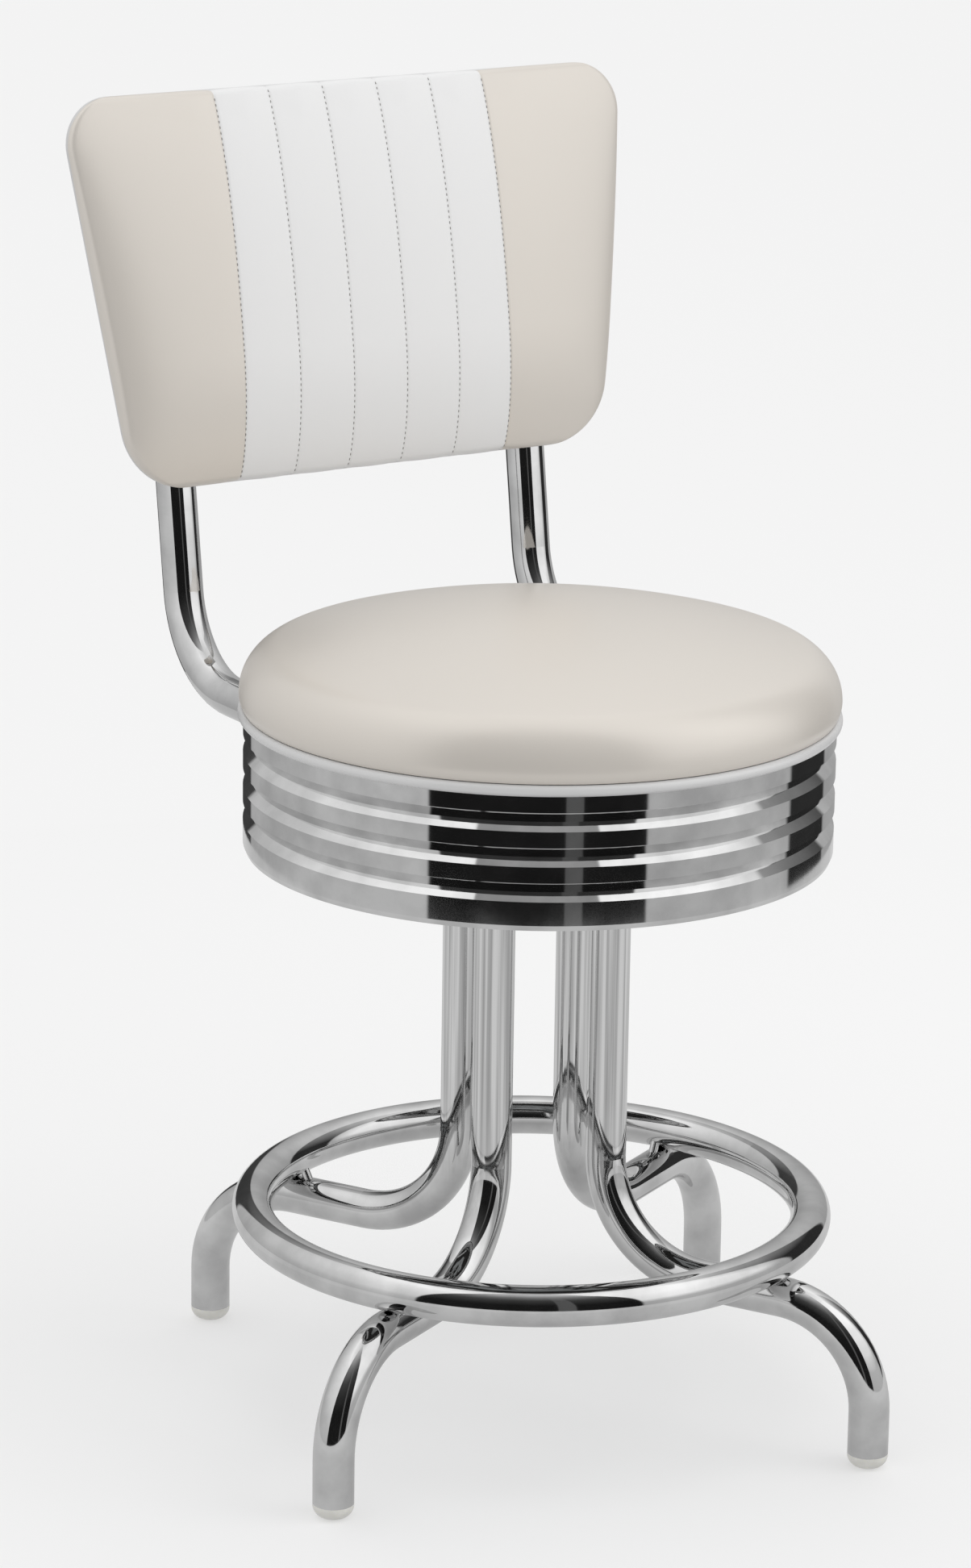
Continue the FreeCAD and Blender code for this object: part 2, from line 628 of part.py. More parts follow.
def tube_top_cap(side):
    cap = tube_cap()
    cap.translate(Vector(side * BACK_TUBE_X, 0, BACK_TUBE_TOP))
    return leaned(cap)


def corner_edges(slab, height):
    """The outline slab's edges through its thickness at a height: its two corners there."""
    return [edge for edge in slab.Edges if edge.BoundBox.YLength > OUTLINE_SLAB / 2
            and abs(edge.CenterOfMass.z - height) < OUTLINE_SLAB / 2]


def back_outline(inset, forward):
    """The backrest's rounded outline, wider at the top, as a closed wire at a forward distance."""
    slope = (BACK_TOP_HALF_WIDTH - BACK_BOTTOM_HALF_WIDTH) / (BACK_TOP - BACK_BOTTOM)
    side_stretch = math.sqrt(1 + slope * slope)
    top = BACK_TOP - inset
    bottom = BACK_BOTTOM + inset
    wide = BACK_TOP_HALF_WIDTH - inset * side_stretch - inset * slope
    narrow = BACK_BOTTOM_HALF_WIDTH - inset * side_stretch + inset * slope
    face = Part.Face(Part.makePolygon([
        Vector(-narrow, -forward, bottom),
        Vector(narrow, -forward, bottom),
        Vector(wide, -forward, top),
        Vector(-wide, -forward, top),
        Vector(-narrow, -forward, bottom),
    ]))
    slab = face.extrude(Vector(0, OUTLINE_SLAB, 0))
    slab = slab.makeFillet(BACK_TOP_CORNER - inset, corner_edges(slab, top))
    slab = slab.makeFillet(BACK_BOTTOM_CORNER - inset, corner_edges(slab, bottom))
    front = min(slab.Faces, key=lambda side: side.CenterOfMass.y)
    return front.OuterWire


def back_slab(inset, start, thickness):
    face = Part.Face(back_outline(inset, start))
    return face.extrude(Vector(0, -thickness, 0))


def back_screw_places():
    return [(side * BACK_TUBE_X, up) for side in (-1, 1) for up in BACK_SCREW_UP]


def back_rear_panel():
    panel = back_slab(BACK_BOARD_INSET, REAR_PANEL_BACK, REAR_PANEL_THICKNESS)
    cuts = []
    for x, up in back_screw_places():
        start = Vector(x, 0, up)
        cuts.append(rod(BACK_SCREW_RADIUS + BOLT_HOLE_CLEARANCE, start, start - Vector(0, TUBE_OD, 0)))
    return leaned(panel.cut(cuts))


def back_board():
    board = back_slab(BACK_BOARD_INSET, BACK_BOARD_BACK, BACK_BOARD_THICKNESS)
    cuts = []
    for x, up in back_screw_places():
        start = Vector(x, -BACK_BOARD_BACK, up)
        cuts.append(rod(BACK_SCREW_RADIUS, start, start - Vector(0, BACK_SCREW_BITE, 0)))
    return leaned(board.cut(cuts))


def back_screws():
    screws = []
    for x, up in back_screw_places():
        seat = Vector(x, TUBE_RADIUS, up)
        tip = Vector(x, -BACK_BOARD_BACK - BACK_SCREW_BITE, up)
        screws.append(bolt(BACK_SCREW_RADIUS, BACK_SCREW_HEAD_RADIUS, BACK_SCREW_HEAD_HEIGHT, seat, tip))
    return leaned(Part.makeCompound(screws))


def back_piping():
    """The welt round the backrest, between the front cover and the rear panel."""
    forward = BACK_BOARD_BACK + BACK_PIPING_RADIUS
    path = back_outline(BACK_PIPING_RADIUS, forward)
    return leaned(swept(path, BACK_PIPING_RADIUS))


def back_pads():
    """The crowned cushion as its three sewn panels: left, centre, right."""
    block = back_slab(0, BACK_PAD_BACK, BACK_PAD_THICKNESS)
    middle_up = (BACK_TOP + BACK_BOTTOM) / 2
    crown_centre = Vector(0, BACK_PAD_CROWN_RADIUS - BACK_PAD_BACK - BACK_PAD_THICKNESS, middle_up)
    cushion = block.common(Part.makeSphere(BACK_PAD_CROWN_RADIUS, crown_centre))
    half = CENTRE_PANEL_WIDTH / 2
    bounds = [
        (-BACK_TOP_HALF_WIDTH, -half - PANEL_SEAM_GAP),
        (-half, half),
        (half + PANEL_SEAM_GAP, BACK_TOP_HALF_WIDTH),
    ]
    depth = BACK_PAD_BACK + BACK_PAD_THICKNESS
    height = BACK_TOP - BACK_BOTTOM
    panels = []
    for low, high in bounds:
        cutter = Part.makeBox(high - low, depth, height, Vector(low, -depth, BACK_BOTTOM))
        panels.append(leaned(cushion.common(cutter)))
    return panels


os.makedirs("parts", exist_ok=True)

leg = bent_tube(leg_path())
for leg_number in range(LEG_COUNT):
    leg_angle = LEG_FIRST_ANGLE + 360 * leg_number / LEG_COUNT
    label = str(leg_number + 1)
    save(turned(leg, leg_angle), "leg_tube_" + label)
    save(turned(foot_glide(), leg_angle), "foot_glide_" + label)
    save(turned(ring_stud(), leg_angle), "ring_stud_" + label)
save(foot_ring(), "foot_ring")

plate_angle = LEG_FIRST_ANGLE - 45
save(turned(column_plate(), plate_angle), "column_plate")
save(turned(swivel_lower_plate(), plate_angle), "swivel_lower_plate")
save(turned(lower_plate_bolts(), plate_angle), "lower_plate_bolts")
save(turned(lower_plate_nuts(), plate_angle), "lower_plate_nuts")
save(swivel_pivot(), "swivel_pivot")
save(swivel_balls(), "swivel_balls")

save(swivel_upper_plate(), "swivel_upper_plate")
save(upper_plate_bolts(), "upper_plate_bolts")
save(seat_board(), "seat_board")
save(tee_nuts(), "tee_nuts")
save(seat_pad(), "seat_pad")
save(seat_band(), "seat_band")
save(band_screws(), "band_screws")
front_piping, rear_piping = seat_piping()
save(front_piping, "seat_piping_front")
save(rear_piping, "seat_piping_rear")

for tube_side, side_name in ((-1, "left"), (1, "right")):
    save(back_tube(tube_side), "back_tube_" + side_name)
    save(tube_front_cap(tube_side), "tube_front_cap_" + side_name)
    save(tube_top_cap(tube_side), "tube_top_cap_" + side_name)
save(tube_bolts(), "tube_bolts")
save(back_rear_panel(), "back_rear_panel")
save(back_board(), "back_board")
save(back_piping(), "back_piping")
save(back_screws(), "back_screws")
for panel, panel_name in zip(back_pads(), ("left", "centre", "right")):
    save(panel, "back_pad_" + panel_name)
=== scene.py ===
import math

import bpy
from mathutils import Matrix, Vector


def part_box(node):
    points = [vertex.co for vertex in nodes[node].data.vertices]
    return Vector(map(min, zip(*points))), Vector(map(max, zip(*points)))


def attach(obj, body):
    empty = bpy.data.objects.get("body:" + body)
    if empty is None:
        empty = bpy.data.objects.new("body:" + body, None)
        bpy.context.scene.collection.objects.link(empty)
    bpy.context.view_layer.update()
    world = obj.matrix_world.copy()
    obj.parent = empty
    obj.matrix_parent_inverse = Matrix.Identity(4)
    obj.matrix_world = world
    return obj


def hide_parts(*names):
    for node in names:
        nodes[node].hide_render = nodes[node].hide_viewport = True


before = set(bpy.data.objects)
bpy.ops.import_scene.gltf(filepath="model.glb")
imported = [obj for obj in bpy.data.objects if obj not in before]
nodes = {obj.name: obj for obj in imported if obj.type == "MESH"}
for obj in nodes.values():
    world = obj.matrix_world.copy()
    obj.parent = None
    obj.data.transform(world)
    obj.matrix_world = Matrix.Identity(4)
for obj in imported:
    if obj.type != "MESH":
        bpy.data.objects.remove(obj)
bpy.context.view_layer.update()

scene = bpy.context.scene
bpy.ops.object.select_all(action="DESELECT")


# ---- Bright chrome plate ------------------------------------------------------------------------
# Every bent tube, the foot ring, its studs, the ribbed band and the backrest's screws are steel,
# polished and plated with nickel and chromium: a neutral mirror. Sizes here are in metres.
def linear(hex_colour):
    """An sRGB hex colour as the linear RGBA that a shader takes."""
    channels = [int(hex_colour[place:place + 2], 16) / 255 for place in (0, 2, 4)]
    bent = [c / 12.92 if c <= 0.04045 else ((c + 0.055) / 1.055) ** 2.4 for c in channels]
    return (*bent, 1.0)


def add(material, kind, settings=None, links=None):
    """One node, its settings by attribute or socket name, and its links as {input: output socket}."""
    node = material.node_tree.nodes.new(kind)
    for name, value in (settings or {}).items():
        if name in node.inputs:
            node.inputs[name].default_value = value
        else:
            setattr(node, name, value)
    for name, source in (links or {}).items():
        material.node_tree.links.new(source, node.inputs[name])
    return node


def new_material(name):
    """An empty material and its one Principled shader, wired to the output."""
    material = bpy.data.materials.new(name)
    material.use_nodes = True
    shader = material.node_tree.nodes["Principled BSDF"]
    return material, shader


def wear(cad_names, material):
    """CAD nodes take this material in all their slots."""
    for name in cad_names:
        for slot in nodes[name].material_slots:
            slot.material = material


def numbered(stem, count=4):
    """The names of like parts that are numbered from one."""
    return [f"{stem}_{number + 1}" for number in range(count)]


SIDES = ("left", "right")

HAZE_SIZE = 0.030


def chrome_plate(name):
    """Chromium over bright nickel: a neutral mirror, faintly clouded where it was polished."""
    material, shader = new_material(name)
    shader.inputs["Metallic"].default_value = 1.0
    place = add(material, "ShaderNodeTexCoord")
    haze = add(material, "ShaderNodeTexNoise", {"Scale": 1 / HAZE_SIZE, "Detail": 4.0},
               {"Vector": place.outputs["Object"]})
    spread = add(material, "ShaderNodeMapRange", {"To Min": 0.025, "To Max": 0.075},
                 {"Value": haze.outputs["Fac"]})
    cloud = add(material, "ShaderNodeValToRGB", None, {"Fac": haze.outputs["Fac"]})
    cloud.color_ramp.elements[0].position = 0.35
    cloud.color_ramp.elements[0].color = linear("CBCBCB")
    cloud.color_ramp.elements[1].position = 0.65
    cloud.color_ramp.elements[1].color = linear("E1E1E1")
    material.node_tree.links.new(spread.outputs["Result"], shader.inputs["Roughness"])
    material.node_tree.links.new(cloud.outputs["Color"], shader.inputs["Base Color"])
    return material, shader, place, cloud


chrome = chrome_plate("bright chrome plate")[0]
wear(["foot_ring", "seat_band", "back_screws"] + numbered("ring_stud"), chrome)
wear([f"back_tube_{side}" for side in SIDES], chrome)

# The legs' chrome has soft grey lengthways streaks painted into its colour up the straight columns,
# fading out in the knees: painted reflections of the other columns. They are drawn 3 mm wide,
# coarser than the real ones, so that they show.
REFLECTION_STREAK_WIDTH = 0.003
REFLECTION_STREAK_LENGTH = 0.30
KNEE_HEIGHTS = (0.13, 0.21)

tube_chrome, shader, place, cloud = chrome_plate("bright chrome plate with painted reflection streaks")
streak_space = add(tube_chrome, "ShaderNodeMapping",
            {"Scale": (1 / REFLECTION_STREAK_WIDTH, 1 / REFLECTION_STREAK_WIDTH, 1 / REFLECTION_STREAK_LENGTH)},
            {"Vector": place.outputs["Object"]})
streak_noise = add(tube_chrome, "ShaderNodeTexNoise", {"Scale": 1.0, "Detail": 3.0},
            {"Vector": streak_space.outputs["Vector"]})
# Painted reflection: lighter and darker grey streaks in the plate's own colour.
painted_reflection_streaks = add(tube_chrome, "ShaderNodeValToRGB", None, {"Fac": streak_noise.outputs["Fac"]})
painted_reflection_streaks.color_ramp.elements[0].position = 0.36
painted_reflection_streaks.color_ramp.elements[0].color = linear("B6B6B6")
painted_reflection_streaks.color_ramp.elements[1].position = 0.60
painted_reflection_streaks.color_ramp.elements[1].color = linear("EBEBEB")
height = add(tube_chrome, "ShaderNodeSeparateXYZ", None, {"Vector": place.outputs["Object"]})
above_knee = add(tube_chrome, "ShaderNodeMapRange",
                 {"From Min": KNEE_HEIGHTS[0], "From Max": KNEE_HEIGHTS[1]},
                 {"Value": height.outputs["Z"]})
plated = add(tube_chrome, "ShaderNodeMixRGB", None,
             {"Fac": above_knee.outputs["Result"], "Color1": cloud.outputs["Color"],
              "Color2": painted_reflection_streaks.outputs["Color"]})
tube_chrome.node_tree.links.new(plated.outputs["Color"], shader.inputs["Base Color"])
wear(numbered("leg_tube"), tube_chrome)

# ---- Zinc plated steel --------------------------------------------------------------------------
# The swivel, its plates, bolts and nuts, and the band's screws are steel, pressed or turned and then
# barrel plated with bright zinc: a dull silver that is cloudy in patches and finely scuffed.
ZINC_CLOUD = 0.012
ZINC_SCUFF = 0.0012

zinc, shader = new_material("barrel zinc plated steel")
shader.inputs["Metallic"].default_value = 1.0
place = add(zinc, "ShaderNodeTexCoord")
cloud = add(zinc, "ShaderNodeTexNoise", {"Scale": 1 / ZINC_CLOUD, "Detail": 5.0},
            {"Vector": place.outputs["Object"]})
scuff = add(zinc, "ShaderNodeTexNoise", {"Scale": 1 / ZINC_SCUFF, "Detail": 2.0},
            {"Vector": place.outputs["Object"]})
tint = add(zinc, "ShaderNodeValToRGB", None, {"Fac": cloud.outputs["Fac"]})
tint.color_ramp.elements[0].position = 0.35
tint.color_ramp.elements[0].color = linear("9FA2A4")
tint.color_ramp.elements[1].position = 0.65
tint.color_ramp.elements[1].color = linear("C4C6C6")
dull = add(zinc, "ShaderNodeMapRange", {"To Min": 0.28, "To Max": 0.48}, {"Value": cloud.outputs["Fac"]})
pits = add(zinc, "ShaderNodeBump", {"Strength": 0.25, "Distance": 0.00008}, {"Height": scuff.outputs["Fac"]})
zinc.node_tree.links.new(tint.outputs["Color"], shader.inputs["Base Color"])
zinc.node_tree.links.new(dull.outputs["Result"], shader.inputs["Roughness"])
zinc.node_tree.links.new(pits.outputs["Normal"], shader.inputs["Normal"])
wear(["column_plate", "swivel_lower_plate", "swivel_upper_plate", "swivel_pivot", "swivel_balls"], zinc)
wear(["lower_plate_bolts", "lower_plate_nuts", "upper_plate_bolts", "tube_bolts", "tee_nuts"], zinc)
wear(["band_screws"], zinc)

# ---- Plywood boards -----------------------------------------------------------------------------
# Both boards are cut from birch plywood. The back board is hidden and left bare; the seat board is
# stained black, so that nothing pale shows under the band. The face shows long grain, and the cut
# edge shows plies 1.5 mm thick.
GRAIN_WIDTH = 0.004
GRAIN_LENGTH = 0.090
PLY = 0.0015
# A band pattern's waves, in radians, over one unit of its scaled coordinate.
WAVES_PER_UNIT = 20


def plywood(name, deep_colour, pale_colour, roughness):
    """Plywood with its grain along Y, darker on every second ply of its edge."""
    material, shader = new_material(name)
    place = add(material, "ShaderNodeTexCoord")
    along = add(material, "ShaderNodeMapping",
                {"Scale": (1 / GRAIN_WIDTH, 1 / GRAIN_LENGTH, 1 / GRAIN_WIDTH)},
                {"Vector": place.outputs["Object"]})
    figure = add(material, "ShaderNodeTexNoise", {"Scale": 1.0, "Detail": 5.0, "Distortion": 0.6},
                 {"Vector": along.outputs["Vector"]})
    wood = add(material, "ShaderNodeValToRGB", None, {"Fac": figure.outputs["Fac"]})
    wood.color_ramp.elements[0].position = 0.3
    wood.color_ramp.elements[0].color = linear(deep_colour)
    wood.color_ramp.elements[1].position = 0.7
    wood.color_ramp.elements[1].color = linear(pale_colour)
    plies = add(material, "ShaderNodeTexWave",
                {"Scale": math.pi / WAVES_PER_UNIT / PLY, "bands_direction": "Z"},
                {"Vector": place.outputs["Object"]})
    end_grain = add(material, "ShaderNodeMapRange", {"To Min": 0.82, "To Max": 1.0},
                    {"Value": plies.outputs["Fac"]})
    coloured = add(material, "ShaderNodeVectorMath", {"operation": "SCALE"},
                   {"Vector": wood.outputs["Color"], "Scale": end_grain.outputs["Result"]})
    fibre = add(material, "ShaderNodeBump", {"Strength": 0.3, "Distance": 0.0002},
                {"Height": figure.outputs["Fac"]})
    shader.inputs["Roughness"].default_value = roughness
    material.node_tree.links.new(coloured.outputs["Vector"], shader.inputs["Base Color"])
    material.node_tree.links.new(fibre.outputs["Normal"], shader.inputs["Normal"])
    return material


wear(["back_board"], plywood("bare birch plywood", "B9925F", "D9BC8E", 0.62))
wear(["seat_board"], plywood("black stained birch plywood", "1D1C1B", "2E2C2A", 0.50))

# ---- Nylon glides and tube plugs ----------------------------------------------------------------
# A domed foot of natural nylon is pushed into the end of each leg, and plugs of grey polyethylene
# close the ends of the back tubes. Both are injection moulded, with a faint spark-eroded texture.
SPARK_TEXTURE = 0.0006
FLOW_MARK = 0.008


def moulded(name, deep_colour, pale_colour, roughness):
    """A moulded plastic: cloudy between two near colours, with a fine eroded texture."""
    material, shader = new_material(name)
    place = add(material, "ShaderNodeTexCoord")
    flow = add(material, "ShaderNodeTexNoise", {"Scale": 1 / FLOW_MARK, "Detail": 3.0},
               {"Vector": place.outputs["Object"]})
    clouded = add(material, "ShaderNodeValToRGB", None, {"Fac": flow.outputs["Fac"]})
    clouded.color_ramp.elements[0].position = 0.3
    clouded.color_ramp.elements[0].color = linear(deep_colour)
    clouded.color_ramp.elements[1].position = 0.7
    clouded.color_ramp.elements[1].color = linear(pale_colour)
    pitted = add(material, "ShaderNodeTexNoise", {"Scale": 1 / SPARK_TEXTURE, "Detail": 1.0},
                 {"Vector": place.outputs["Object"]})
    texture = add(material, "ShaderNodeBump", {"Strength": 0.2, "Distance": 0.00005},
                  {"Height": pitted.outputs["Fac"]})
    scuffed = add(material, "ShaderNodeMapRange", {"To Min": roughness - 0.05, "To Max": roughness + 0.08},
                  {"Value": flow.outputs["Fac"]})
    material.node_tree.links.new(clouded.outputs["Color"], shader.inputs["Base Color"])
    material.node_tree.links.new(scuffed.outputs["Result"], shader.inputs["Roughness"])
    material.node_tree.links.new(texture.outputs["Normal"], shader.inputs["Normal"])
    return material, shader


nylon, shader = moulded("moulded natural nylon", "D8D7D1", "E6E5E0", 0.32)
shader.inputs["Subsurface Weight"].default_value = 0.25
shader.inputs["Subsurface Radius"].default_value = (0.004, 0.004, 0.003)
wear(numbered("foot_glide"), nylon)
plug_plastic, shader = moulded("moulded grey polyethylene", "858789", "949698", 0.45)
wear([f"tube_{end}_cap_{side}" for end in ("front", "top") for side in SIDES], plug_plastic)

# ---- Upholstery vinyl ---------------------------------------------------------------------------
# A foam-backed knit under a calendered skin with a fine leather grain, drawn coarser than the real
# 0.4 mm so that it shows. Beige is pearlescent, with a soft bloom where light skims it; white is
# plain, and the piping is a greyer and glossier white.
GRAIN_PITCH = 0.0009
GLOSS_PATCH = 0.045


def vinyl(name, hex_colour, roughness, pearl):
    """A coated upholstery vinyl with a fine grain and slow, faint unevenness in its gloss."""
    material, shader = new_material(name)
    shader.inputs["Base Color"].default_value = linear(hex_colour)
    shader.inputs["Metallic"].default_value = pearl
    shader.inputs["Coat Weight"].default_value = 0.2
    shader.inputs["Coat Roughness"].default_value = 0.30
    place = add(material, "ShaderNodeTexCoord")
    grain = add(material, "ShaderNodeTexVoronoi", {"Scale": 1 / GRAIN_PITCH},
                {"Vector": place.outputs["Object"]})
    bump = add(material, "ShaderNodeBump", {"Strength": 0.08, "Distance": 0.00015},
               {"Height": grain.outputs["Distance"]})
    slow = add(material, "ShaderNodeTexNoise", {"Scale": 1 / GLOSS_PATCH, "Detail": 3.0},
               {"Vector": place.outputs["Object"]})
    gloss = add(material, "ShaderNodeMapRange", {"To Min": roughness - 0.03, "To Max": roughness + 0.03},
                {"Value": slow.outputs["Fac"]})
    material.node_tree.links.new(bump.outputs["Normal"], shader.inputs["Normal"])
    material.node_tree.links.new(gloss.outputs["Result"], shader.inputs["Roughness"])
    return material


beige_vinyl = vinyl("pearl beige upholstery vinyl", "DCD6CE", 0.35, 0.22)
white_vinyl = vinyl("white upholstery vinyl", "EAEAEA", 0.40, 0.04)
piping_vinyl = vinyl("white vinyl piping", "D6D6D6", 0.30, 0.04)
wear(["back_rear_panel"], beige_vinyl)
wear(["back_piping", "seat_piping_front", "seat_piping_rear"], piping_vinyl)

# ---- Seat cushion -------------------------------------------------------------------------------
# A moulded foam disc under one round of beige vinyl, drawn down over the edge of the board to the
# piping. It starts as a sphere whose rings are slid onto the cushion's profile.
MM = 0.001
pad_low, pad_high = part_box("seat_pad")
board_low, board_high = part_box("seat_board")
SEAT_RADIUS = pad_high.x
SEAT_SIDE_HEIGHT = 8 * MM
SEAT_TUCK = 2.3 * MM
SEAT_SHOULDER = 31 * MM
RECESS_GAP = 0.4 * MM
RECESS_CHAMFER = 1 * MM
RECESS_RADIUS = board_high.x + RECESS_GAP
RECESS_TOP = board_high.z + RECESS_GAP
CROWN_STEPS = 56
SHOULDER_STEPS = 24
TUCK_STEPS = 8
ROUND_STEPS = 192


def seat_profile():
    """The cushion's outline as (radius, height), from the top centre round to the recess centre."""
    widest = pad_low.z + SEAT_SIDE_HEIGHT
    crown = pad_high.z - widest
    across = SEAT_RADIUS - SEAT_SHOULDER
    crown_radius = (across ** 2 + crown ** 2 - SEAT_SHOULDER ** 2) / (2 * (crown - SEAT_SHOULDER))
    turn = math.asin(across / (crown_radius - SEAT_SHOULDER))
    points = []
    for step in range(CROWN_STEPS):
        angle = turn * step / CROWN_STEPS
        points.append((crown_radius * math.sin(angle), pad_high.z - crown_radius * (1 - math.cos(angle))))
    for step in range(SHOULDER_STEPS + 1):
        angle = turn + (math.pi / 2 - turn) * step / SHOULDER_STEPS
        points.append((across + SEAT_SHOULDER * math.sin(angle), widest + SEAT_SHOULDER * math.cos(angle)))
    for step in range(1, TUCK_STEPS + 1):
        share = step / TUCK_STEPS
        points.append((SEAT_RADIUS - SEAT_TUCK * share ** 2, widest - SEAT_SIDE_HEIGHT * share))
    points.append((RECESS_RADIUS + RECESS_CHAMFER, pad_low.z))
    points.append((RECESS_RADIUS, pad_low.z + RECESS_CHAMFER))
    points.append((RECESS_RADIUS, RECESS_TOP))
    points.append((RECESS_RADIUS / 2, RECESS_TOP))
    points.append((0, RECESS_TOP))
    return points


def finish_smooth(piece, degrees=40):
    """Smooth shading, kept sharp where faces meet at more than the angle."""
    bpy.ops.object.select_all(action="DESELECT")
    piece.select_set(True)
    bpy.context.view_layer.objects.active = piece
    bpy.ops.object.shade_smooth_by_angle(angle=math.radians(degrees))


profile = seat_profile()
bpy.ops.object.select_all(action="DESELECT")
bpy.ops.mesh.primitive_uv_sphere_add(segments=ROUND_STEPS, ring_count=len(profile) - 1, radius=1)
seat_cushion = bpy.context.object
seat_cushion.name = "seat_cushion"
for vertex in seat_cushion.data.vertices:
    ring = round((math.pi / 2 - math.asin(max(-1, min(1, vertex.co.z)))) / math.pi * (len(profile) - 1))
    bearing = math.atan2(vertex.co.y, vertex.co.x)
    radius, height = profile[ring]
    vertex.co = (radius * math.cos(bearing), radius * math.sin(bearing), height)
seat_cushion.data.materials.append(beige_vinyl)
finish_smooth(seat_cushion)
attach(seat_cushion, "seat")
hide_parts("seat_pad")

# ---- Backrest cushion ---------------------------------------------------------------------------
# One foam cushion under a sewn cover of three panels: beige, white in five stitched channels, beige.
# Each panel is a grid slid onto the cushion's crown, puffed between its seams, and closed behind.
BACK_LEAN = math.radians(8.25)
BACK_REFERENCE = Vector((0, 0.2321, board_low.z + 0.1468))
BACK_TOP = 210.3 * MM
BACK_BOTTOM = -37.6 * MM
TOP_HALF_WIDTH = 206.0 * MM
BOTTOM_HALF_WIDTH = 172.4 * MM
TOP_CORNER = 30 * MM
BOTTOM_CORNER = 44 * MM
COVER_INSET = 0.8 * MM
CUSHION_BACK = 23.2 * MM
COVER_EDGE = 20.9 * MM
CROWN_DEPTH = 19.5 * MM
EDGE_ROLL = 4 * MM
CROWN_PEAK = 45 * MM
# How the crown falls away over and under its peak, each as the inner and outer power of a curve.
UPPER_FALL = (2.2, 0.8)
LOWER_FALL = (2.0, 0.7)
SIDE_FALL = (3, 0.30)
SIDE_BULGE = 6 * MM
SIDE_BULGE_RISE = 6 * MM
SIDE_BULGE_POWER = 20
PANEL_HALF_WIDTH = 99 * MM
CHANNELS = 5
CHANNEL_WIDTH = 2 * PANEL_HALF_WIDTH / CHANNELS
CHANNEL_PUFF = 0.8 * MM
PUFF_POWER = 0.7
PUFF_SPREAD = 8 * MM
SEAM_DEPTH = 0.25 * MM
SEAM_HALF_WIDTH = 0.9 * MM
SIDE_SLOPE = (TOP_HALF_WIDTH - BOTTOM_HALF_WIDTH) / (BACK_TOP - BACK_BOTTOM)
SIDE_TILT = math.atan(SIDE_SLOPE)
FORWARD = Vector((0, -math.cos(BACK_LEAN), math.sin(BACK_LEAN)))


def on_back(across, up, forward):
    """From the backrest's own leaning frame to its place."""
    y = up * math.sin(BACK_LEAN) - forward * math.cos(BACK_LEAN)
    z = up * math.cos(BACK_LEAN) + forward * math.sin(BACK_LEAN)
    return BACK_REFERENCE + Vector((across, y, z))


def half_width(up):
    """Half the backrest's width at a height, round its corners too."""
    side = BOTTOM_HALF_WIDTH + SIDE_SLOPE * (up - BACK_BOTTOM)
    for edge, radius, inward in ((BACK_TOP, TOP_CORNER, -1), (BACK_BOTTOM, BOTTOM_CORNER, 1)):
        centre = edge + inward * radius
        centre_x = BOTTOM_HALF_WIDTH + SIDE_SLOPE * (centre - BACK_BOTTOM) - radius / math.cos(SIDE_TILT)
        if (up - centre) * -inward > radius * math.sin(SIDE_TILT) * inward:
            side = centre_x + math.sqrt(max(0, radius ** 2 - (up - centre) ** 2))
    return side


def cushion_front(across, up):
    """How far forward the cushion's face is, without its seams: fullest low down, thin at the top."""
    if up > CROWN_PEAK:
        height = (1 - ((up - CROWN_PEAK) / (BACK_TOP - CROWN_PEAK)) ** UPPER_FALL[0]) ** UPPER_FALL[1]
    else:
        height = (1 - ((CROWN_PEAK - up) / (CROWN_PEAK - BACK_BOTTOM)) ** LOWER_FALL[0]) ** LOWER_FALL[1]
    side = min(1, abs(across) / half_width(up))
    inside = max(0, min(BACK_TOP - up, up - BACK_BOTTOM, half_width(up) - abs(across), EDGE_ROLL))
    rolled = math.sqrt(EDGE_ROLL ** 2 - (EDGE_ROLL - inside) ** 2)
    return COVER_EDGE + rolled + CROWN_DEPTH * height * (1 - side ** SIDE_FALL[0]) ** SIDE_FALL[1]


def side_swell(across, up, forward):
    """How far the foam swells out past the outline at the cushion's two sides."""
    rise = max(0, forward - COVER_EDGE)
    side = min(1, abs(across) / half_width(up))
    return math.copysign(SIDE_BULGE * side ** SIDE_BULGE_POWER * rise / (rise + SIDE_BULGE_RISE), across)


def seam_relief(across):
    """The white panel's relief: puffed between its seams, with a narrow valley at each of them."""
    place = (across + PANEL_HALF_WIDTH) / CHANNEL_WIDTH
    nearest = abs(place - round(place)) * CHANNEL_WIDTH
    puff = CHANNEL_PUFF * abs(math.sin(math.pi * place)) ** PUFF_POWER
    if abs(across) > PANEL_HALF_WIDTH:
        nearest = abs(across) - PANEL_HALF_WIDTH
        puff = CHANNEL_PUFF * (1 - math.exp(-nearest / PUFF_SPREAD))
    return puff - SEAM_DEPTH * math.exp(-((nearest / SEAM_HALF_WIDTH) ** 2))


def cover_point(across, up, lift):
    """A place on the cover, lifted along the cushion's normal by the seam relief and a little more."""
    step = 0.3 * MM
    low, high = max(BACK_BOTTOM, up - step), min(BACK_TOP, up + step)
    slope_up = (cushion_front(across, high) - cushion_front(across, low)) / (high - low)
    slope_across = (cushion_front(across + step, up) - cushion_front(across - step, up)) / (2 * step)
    normal = Vector((-slope_across, -slope_up, 1)).normalized()
    forward = cushion_front(across, up)
    place = Vector((across + side_swell(across, up, forward), up, forward))
    return on_back(*(place + normal * (seam_relief(across) - CHANNEL_PUFF + lift)))


def gathered(low, high, steps, low_power, high_power):
    """Places between two ends, closer together towards an end whose power is over one."""
    places = []
    for step in range(steps + 1):
        share = step / steps
        if share < 0.5:
            places.append(low + (high - low) * 0.5 * (2 * share) ** low_power)
        else:
            places.append(high - (high - low) * 0.5 * (2 - 2 * share) ** high_power)
    return places


